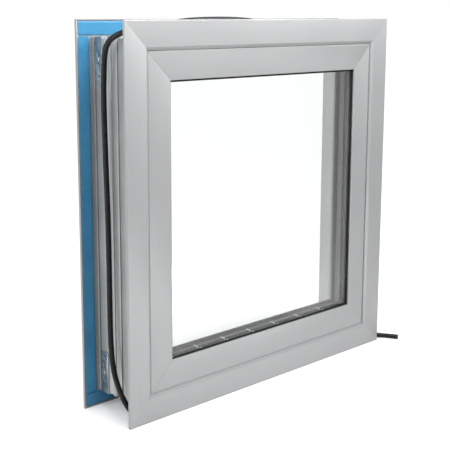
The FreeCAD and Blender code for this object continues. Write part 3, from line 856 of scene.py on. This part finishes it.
@dataclass
class FilmStrips:
    """Four strips of protective film on the rear casing, creased where they were cut."""

    palette: Palette
    thickness: float = 0.15 * MM
    corner: float = 3.2 * MM
    wrinkle: float = 0.35 * MM
    crease: float = 0.75 * MM
    crease_pitch: float = 7.0 * MM
    crease_reach: float = 34.0 * MM
    step: float = 3.0 * MM
    gap: float = 0.5 * MM
    across: int = 8
    corner_marks: Tuple[float, ...] = (0.0, 0.25 * MM, 0.8 * MM, 1.7 * MM)

    def build(self) -> None:
        """Build the four strips."""
        for side in SIDES:
            self.strip(side)

    def strip(self, side: str) -> bpy.types.Object:
        """Build one strip.

        Args:
            side: which side of the casing it is on.

        Returns:
            The strip.
        """
        low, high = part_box("film_" + side)
        upright = side in ("left", "right")
        length = (high.z - low.z) if upright else (high.x - low.x)
        width = (high.x - low.x) if upright else (high.z - low.z)
        start, end = self.gap, length - self.gap
        straight = end - start - 2 * self.corner
        count = round(straight / self.step)
        stations = [start + offset for offset in self.corner_marks]
        stations += [start + self.corner + straight * index / count
                     for index in range(count + 1)]
        stations += [end - offset for offset in reversed(self.corner_marks)]
        shape = bmesh.new()
        rows = []
        for along in stations:
            near = min(along - start, end - along)
            cut = 0.0
            if near < self.corner:
                cut = self.corner - math.sqrt(self.corner ** 2 - (self.corner - near) ** 2)
            row = []
            for index in range(self.across + 1):
                over = cut + (width - 2 * cut) * index / self.across
                depth = high.y - self.thickness - self.lift(side, along, over, length)
                if upright:
                    point = (low.x + over, depth, low.z + along)
                else:
                    point = (low.x + along, depth, low.z + over)
                row.append(shape.verts.new(point))
            rows.append(row)
        for here, there in zip(rows, rows[1:]):
            for index in range(self.across):
                shape.faces.new((here[index], here[index + 1], there[index + 1], there[index]))
        piece = new_object("film_strip_" + side, shape)
        solid = piece.modifiers.new("film_thickness", "SOLIDIFY")
        solid.thickness = self.thickness
        solid.offset = 0.0
        return settle(piece, "frame", self.palette.pick(Slot.FILM),
                      ["film_" + side])

    def lift(self, side: str, along: float, over: float, length: float) -> float:
        """Return how far the film stands off the casing.

        Args:
            side: the strip's side.
            along: distance along the strip.
            over: distance across it.
            length: the strip's length; not used.

        Returns:
            The distance in metres.
        """
        seed = SIDES.index(side) * 5.0
        loose = 0.5 + 0.5 * noise.noise(Vector((along * 22.0, over * 70.0, seed)))
        stand = self.wrinkle * loose * loose
        if side == "left":
            fade = max(0.0, 1.0 - along / self.crease_reach)
            wave = 0.5 + 0.5 * math.cos(along / self.crease_pitch * math.tau
                                        + 1.2 * noise.noise(Vector((over * 90.0, 3.0, 0.0))))
            stand += self.crease * fade * wave
        return stand


@dataclass
class Screws:
    """Pan-head screws with a cross recess, one for each solid in a node."""

    palette: Palette
    node: str
    facing: Facing
    head_radius: float
    head_height: float
    shank_radius: float
    recess_reach: float = 0.56
    recess_half: float = 0.13
    recess_depth: float = 0.75
    recess_taper: float = 0.6
    ring_count: int = 28

    def build(self) -> bpy.types.Object:
        """Build all of the node's screws as one piece.

        Returns:
            The screws.
        """
        pattern = self.pattern()
        shape = bmesh.new()
        for low, high in islands(self.node):
            middle = (low + high) / 2
            spread = high - low
            if self.facing is Facing.UP:
                way = Vector((0.0, 0.0, 1.0))
            elif spread.x > spread.z:
                way = Vector((math.copysign(1.0, middle.x), 0.0, 0.0))
            else:
                way = Vector((0.0, 0.0, math.copysign(1.0, middle.z - CENTRE.z)))
            long_side = max(spread)
            top = middle + way * (long_side / 2)
            spin = Matrix.Rotation(0.9 * len(shape.verts) % 1.5, 4, "Z")
            turn = way.to_track_quat("Z", "Y").to_matrix().to_4x4()
            copy = pattern.copy()
            for vertex in copy.vertices:
                if vertex.co.z < -self.head_height - 1e-6:
                    vertex.co.z = -long_side
            copy.transform(Matrix.Translation(top) @ turn @ spin)
            shape.from_mesh(copy)
            bpy.data.meshes.remove(copy)
        bpy.data.meshes.remove(pattern)
        piece = new_object(self.node + "_finished", shape, smooth=False)
        piece.data.set_sharp_from_angle(angle=math.radians(32.0))
        piece.data.polygons.foreach_set("use_smooth", [True] * len(piece.data.polygons))
        slot = slot_of(self.node)
        return settle(piece, body_of(self.node), self.palette.pick(slot), [self.node])

    def pattern(self) -> bpy.types.Mesh:
        """Return one screw's mesh, its head's top at the origin and its shank down -Z."""
        crown = 0.45 * self.head_height
        dome = arc((self.head_radius - crown, -crown), (crown, crown), 90.0, 0.0, 4)
        outline = [(0.0, 0.0)] + dome + [
            (self.head_radius, -self.head_height), (self.shank_radius, -self.head_height),
            (self.shank_radius, -self.head_height * 3), (0.0, -self.head_height * 3)]
        shape = bmesh.new()
        rings: List[List[bmesh.types.BMVert]] = []
        for radius, height in outline:
            if radius < 1e-9:
                rings.append([shape.verts.new((0.0, 0.0, height))])
                continue
            rings.append([
                shape.verts.new((radius * math.cos(math.tau * step / self.ring_count),
                                 radius * math.sin(math.tau * step / self.ring_count), height))
                for step in range(self.ring_count)])
        for here, there in zip(rings, rings[1:]):
            for step in range(self.ring_count):
                after = (step + 1) % self.ring_count
                corners = [here[step % len(here)], here[after % len(here)],
                           there[after % len(there)], there[step % len(there)]]
                shape.faces.new(list(dict.fromkeys(corners)))
        head = new_object("screw_pattern", shape)
        cutter = self.cross()
        cut = head.modifiers.new("recess", "BOOLEAN")
        cut.object = cutter
        cut.operation = "DIFFERENCE"
        cut.solver = "EXACT"
        bpy.context.view_layer.update()
        depsgraph = bpy.context.evaluated_depsgraph_get()
        mesh = bpy.data.meshes.new_from_object(head.evaluated_get(depsgraph))
        for helper in (head, cutter):
            spare = helper.data
            bpy.data.objects.remove(helper)
            bpy.data.meshes.remove(spare)
        return mesh

    def cross(self) -> bpy.types.Object:
        """Return the tapered cross that cuts the recess."""
        reach = self.head_radius * self.recess_reach
        half = self.head_radius * self.recess_half
        depth = self.head_height * self.recess_depth
        outline = [(reach, -half), (reach, half), (half, half), (half, reach), (-half, reach),
                   (-half, half), (-reach, half), (-reach, -half), (-half, -half),
                   (-half, -reach), (half, -reach), (half, -half)]
        shape = bmesh.new()
        top = [shape.verts.new((x, y, self.head_height * 0.3)) for x, y in outline]
        taper = self.recess_taper
        low = [shape.verts.new((x * taper, y * taper, -depth)) for x, y in outline]
        shape.faces.new(top)
        shape.faces.new(list(reversed(low)))
        count = len(outline)
        for index in range(count):
            after = (index + 1) % count
            shape.faces.new((top[index], low[index], low[after], top[after]))
        return new_object("cross_recess", shape, smooth=False)


# ---------------------------------------------------------------- the sash


@dataclass
class Sash:
    """The sash's rails and beads, its gaskets and the spacers in its glazing."""

    palette: Palette
    rail_edge: float = 0.55 * MM
    bead_edge: float = 0.30 * MM
    sight: float = 87.0 * MM
    lip_stand: float = 3.0 * MM
    lip_nose: float = 1.3 * MM
    track_edge: float = 0.3 * MM
    spacer_inset: float = 78.0 * MM
    spacer_width: float = 7.0 * MM
    pitch: float = 5.0 * MM
    hole_length: float = 1.7 * MM
    hole_width: float = 1.2 * MM
    hole_depth: float = 0.7 * MM
    hole_margin: float = 4.0 * MM
    hole_row: float = 2.2 * MM
    spacer_corner: float = 1.1 * MM

    def build(self) -> None:
        """Build every piece of the sash."""
        for side in SIDES:
            softened("sash_rail_" + side, self.rail_edge, self.palette)
            softened("glazing_bead_" + side, self.bead_edge, self.palette)
        softened("arm_track", self.track_edge, self.palette)
        self.gaskets()
        self.spacer("outer_spacer")
        self.spacer("inner_spacer")

    def gaskets(self) -> bpy.types.Object:
        """Build both glazing gaskets, with a rounded lip at the sight edge.

        Returns:
            The gaskets.
        """
        _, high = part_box("glazing_gaskets")
        outer = HALF_SIZE - high.x
        lip = self.sight + self.lip_stand
        shape = bmesh.new()
        solids = islands("glazing_gaskets")
        for low, top in sorted(solids, key=lambda pair: pair[0].y):
            thick = top.y - low.y
            middle = (top.y + low.y) / 2
            nose = min(thick / 2, self.lip_nose)
            profile = [(outer, low.y), (lip - nose, low.y)]
            profile += arc((lip - nose, middle), (nose, thick / 2), -80.0, 80.0, 8)
            profile += [(lip - nose, top.y), (outer, top.y)]
            swept_ring(shape, profile)
        piece = new_object("glazing_gasket_lips", shape)
        add_rounding(piece, HAIR, 1)
        return settle(piece, "sash", self.palette.pick(Slot.RUBBER),
                      ["glazing_gaskets"])

    def spacer(self, node: str) -> bpy.types.Object:
        """Build one spacer ring with two rows of breathing holes on its sight face.

        Args:
            node: the spacer's node.

        Returns:
            The spacer.
        """
        low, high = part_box(node)
        front, back = low.y, high.y
        middle = (front + back) / 2
        inner = self.spacer_inset + self.spacer_width
        corner, row = self.spacer_corner, self.hole_row
        half_hole = self.hole_width / 2
        profile = [
            (inner, front + corner), (inner, middle - row - half_hole),
            (inner, middle - row + half_hole), (inner, middle + row - half_hole),
            (inner, middle + row + half_hole), (inner, back - corner),
            (inner - corner, back), (self.spacer_inset + corner, back),
            (self.spacer_inset, back - corner), (self.spacer_inset, front + corner),
            (self.spacer_inset + corner, front), (inner - corner, front)]
        holed = (1, 3)
        shape = bmesh.new()
        reach = HALF_SIZE - inner
        pitches = int((2 * reach - self.hole_margin) / self.pitch)
        first = -pitches * self.pitch / 2
        stations = []
        for index in range(pitches):
            centre = first + (index + 0.5) * self.pitch
            stations += [centre - self.hole_length / 2, centre + self.hole_length / 2]
        count = len(profile)
        for quarter, side in enumerate(SIDES):
            turn = turned(side)
            rows = []
            for mark in [None] + stations + [math.inf]:
                ring = []
                for inset, depth in profile:
                    end = HALF_SIZE - inset
                    along = -end if mark is None else (end if mark is math.inf else mark)
                    ring.append(shape.verts.new(turn @ Vector((along, depth, inset))))
                rows.append(ring)
            for place, (here, there) in enumerate(zip(rows, rows[1:])):
                for index in range(count):
                    after = (index + 1) % count
                    face = shape.faces.new((here[index], here[after], there[after],
                                            there[index]))
                    # Level sides take the spacer's painted-shade finish, upright sides its
                    # painted-light finish.
                    face.material_index = quarter % 2
                    if index in holed and place % 2 == 1:
                        self.pierce(shape, face, turn)
        bmesh.ops.remove_doubles(shape, verts=shape.verts, dist=1e-6)
        piece = new_object(node + "_bar", shape, smooth=False)
        settle(piece, "sash", self.palette.pick(Slot.SPACER, Run.LEVEL), [node])
        piece.data.materials.append(self.palette.pick(Slot.SPACER, Run.UPRIGHT))
        return piece

    def pierce(self, shape: bmesh.types.BMesh, face: bmesh.types.BMFace,
               turn: Matrix) -> None:
        """Sink a hole into one face.

        Args:
            shape: the edit mesh.
            face: the face to sink.
            turn: the turn from the bottom side to this side.
        """
        inward = turn.to_3x3() @ Vector((0.0, 0.0, -1.0))
        corners = [vertex.co.copy() for vertex in face.verts]
        ring = [shape.verts.new(point + inward * self.hole_depth) for point in corners]
        rim = list(face.verts)
        index = face.material_index
        shape.faces.remove(face)
        for place in range(4):
            after = (place + 1) % 4
            wall = shape.faces.new((rim[place], rim[after], ring[after], ring[place]))
            wall.material_index = index
        shape.faces.new(ring).material_index = index


# ---------------------------------------------------------------- the operator


@dataclass
class Operator:
    """The crank, its housing on the sill, and the arm that pushes the sash."""

    palette: Palette
    housing_edge: float = 0.8 * MM
    lid_edge: float = 0.6 * MM
    arm_edge: float = 0.3 * MM
    crank_edge: float = 0.8 * MM

    def build(self) -> None:
        """Build every piece of the operator."""
        softened("operator_housing", self.housing_edge, self.palette, segments=3)
        softened("operator_cover", self.lid_edge, self.palette, segments=3)
        softened("drive_arm", self.arm_edge, self.palette)
        softened("crank_arm", self.crank_edge, self.palette, segments=3)


# ---------------------------------------------------------------- the cord


@dataclass
class SealingCord:
    """The rubber cord laid round the box, its square-cut tail out on the floor."""

    palette: Palette
    diameter: float = 8.4 * MM
    length: float = 2.3815
    route: List[Tuple[float, float, float]] = field(default_factory=lambda: [
        (287, 64.8, 36), (284.5, 72.8, 108), (281.5, 76.8, 200), (281, 76.8, 300),
        (281.5, 75.8, 395), (285, 72.8, 470), (290.5, 67.8, 531), (291.5, 62.8, 568.7),
        (281.3, 60.2, 586.3), (263.7, 59.2, 596.5), (236, 59.8, 592), (200, 61.2, 584.5),
        (140, 61.8, 580.8), (76, 58.8, 585.5), (16, 53.8, 596.8), (-42, 48.8, 599.8),
        (-100, 42.8, 599.8), (-158, 33.8, 598), (-205, 20.8, 592.6), (-252, 9.1, 592),
        (-269, 10.9, 588.7), (-281.5, 20.8, 583.5), (-287, 34.8, 577.3),
        (-288.7, 46.8, 570), (-289.5, 55, 557.5), (-288, 60, 533), (-286.5, 64.2, 490),
        (-285, 64.4, 410), (-284.5, 62, 325), (-284.5, 61, 240), (-285.5, 60, 170),
        (-286.5, 58.2, 112), (-288, 50.5, 74), (-289.5, 36.5, 50), (-290, 21.5, 33),
        (-283, 13.8, 16.5), (-267.5, 10.8, 6.2), (-240, 13.2, 4.6), (-196, 21.8, 4.5),
        (-120, 35.8, 4.6), (-30, 43.8, 4.4), (66, 42.8, 4.6), (154, 46.8, 4.4),
        (232, 44.8, 4.5), (287, 33.2, 4.6), (317, 6.2, 4.4), (333, -27.8, 4.4)])

    def build(self) -> bpy.types.Object:
        """Build the cord.

        Returns:
            The cord.
        """
        curve = bpy.data.curves.new("sealing_cord_line", "CURVE")
        curve.dimensions = "3D"
        spline = curve.splines.new("NURBS")
        spline.points.add(len(self.route) - 1)
        for point, (x, y, z) in zip(spline.points, self.route):
            point.co = (x * MM, y * MM, z * MM, 1.0)
        spline.order_u = 3
        spline.use_endpoint_u = True
        curve.resolution_u = 10
        curve.bevel_depth = self.diameter / 2
        curve.bevel_resolution = 8
        curve.use_fill_caps = True
        piece = bpy.data.objects.new("sealing_cord_round", curve)
        bpy.context.scene.collection.objects.link(piece)
        settle(piece, "frame", self.palette.pick(Slot.CORD), ["sealing_cord"])
        return piece


# ---------------------------------------------------------------- studio


@dataclass
class Studio:
    """The camera, the lights, the white surround and the pale floor."""

    lens: float = 79.96
    shift: float = -0.05695
    position: Tuple[float, float, float] = (-1.17739, -1.09761, 0.61217)
    yaw: float = 0.7752
    pitch: float = 0.1861
    roll: float = -0.0033
    surround: float = 1.0
    key_power: float = 1.0
    top_power: float = 5.6
    low_power: float = 0.9
    side_power: float = 9.0
    fill_power: float = 1.0
    floor_reach: float = 60.0
    floor_glow: float = 0.12

    def build(self) -> None:
        """Build the studio."""
        self.camera()
        self.lights()
        self.floor()
        bpy.context.scene.view_settings.view_transform = "Standard"

    def camera(self) -> None:
        """Place the camera."""
        forward = Vector((math.sin(self.yaw) * math.cos(self.pitch),
                          math.cos(self.yaw) * math.cos(self.pitch), -math.sin(self.pitch)))
        level = Vector((math.cos(self.yaw), -math.sin(self.yaw), 0.0))
        down = forward.cross(level)
        right = level * math.cos(self.roll) + down * math.sin(self.roll)
        under = down * math.cos(self.roll) - level * math.sin(self.roll)
        data = bpy.data.cameras.new("camera")
        data.lens = self.lens
        data.sensor_width = 36.0
        data.shift_y = self.shift
        camera = bpy.data.objects.new("camera", data)
        turn = Matrix((right, -under, -forward)).transposed().to_4x4()
        camera.matrix_world = Matrix.Translation(self.position) @ turn
        bpy.context.scene.collection.objects.link(camera)
        bpy.context.scene.camera = camera

    def lamp(self, name: str, place: Sequence[float], aim: Sequence[float],
             size: Tuple[float, float], power: float) -> None:
        """Place one soft box light.

        Args:
            name: the light's name.
            place: where it stands.
            aim: what it points at.
            size: how wide and how tall it is.
            power: how strong it is.
        """
        data = bpy.data.lights.new(name, "AREA")
        data.shape = "RECTANGLE"
        data.size, data.size_y = size
        data.energy = power
        light = bpy.data.objects.new(name, data)
        way = Vector(aim) - Vector(place)
        light.matrix_world = (Matrix.Translation(place)
                              @ way.to_track_quat("-Z", "Y").to_matrix().to_4x4())
        light.visible_camera = False
        bpy.context.scene.collection.objects.link(light)

    def lights(self) -> None:
        """Place the key, the fill and the white surround."""
        self.lamp("key", (-0.22, -0.72, 1.26), (-0.1, 0.0, 0.5), (0.6, 0.6), self.key_power)
        self.lamp("side", (-1.70, 0.42, 0.60), (-0.3, 0.06, 0.35), (0.12, 1.3),
                  self.side_power)
        self.lamp("fill", (1.6, -1.2, 1.1), (0.1, 0.0, 0.3), (1.2, 1.2), self.fill_power)
        self.lamp("top_strip", (-0.05, -0.15, 0.80), (-0.05, 0.02, 0.52), (0.9, 0.08),
                  self.top_power)
        self.lamp("low_strip", (0.0, -0.45, 0.05), (0.0, 0.0, 0.03), (0.8, 0.05),
                  self.low_power)
        world = bpy.data.worlds.new("surround")
        world.use_nodes = True
        background = world.node_tree.nodes["Background"]
        background.inputs["Color"].default_value = (1.0, 1.0, 1.0, 1.0)
        background.inputs["Strength"].default_value = self.surround
        bpy.context.scene.world = world

    def floor(self) -> None:
        """Lay the floor."""
        shape = bmesh.new()
        bmesh.ops.create_grid(shape, x_segments=1, y_segments=1, size=self.floor_reach)
        piece = new_object("floor", shape, smooth=False)
        graph = Graph("pale_floor")
        cloud = graph.noise(graph.place(), 3.0, 3.0)
        piece.data.materials.append(graph.finished(graph.surface(
            Base_Color=graph.mixed(cloud, (0.93, 0.93, 0.93), (0.96, 0.96, 0.96)),
            Roughness=0.8, Emission_Color=(1.0, 1.0, 1.0),
            Emission_Strength=self.floor_glow)))


def dress_nodes(palette: Palette) -> None:
    """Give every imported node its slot's finish.

    Args:
        palette: the finishes.
    """
    for part in frame["record"]["subparts"]:
        node = frame["nodes"][part["node"]]
        finish = palette.pick(Slot(part["material_slot"]), run_of(part["node"]))
        for holder in node.material_slots:
            holder.material = finish
        log.info("%s wears %s", part["node"], finish.name)


def main() -> None:
    """Build the window's looks in order."""
    logging.basicConfig(level=logging.INFO, format="%(name)s: %(message)s")
    palette = Palette()
    dress_nodes(palette)
    Studio().build()
    SealingCord(palette).build()
    WallBox(palette).build()
    FilmStrips(palette).build()
    Screws(palette, "bracket_screws", Facing.OUTWARD, 3.6 * MM, 2.0 * MM, 1.75 * MM).build()
    Sash(palette).build()
    Operator(palette).build()
    Screws(palette, "operator_screws", Facing.UP, 2.8 * MM, 0.9 * MM, 1.5 * MM).build()


if __name__ == "__main__":
    main()
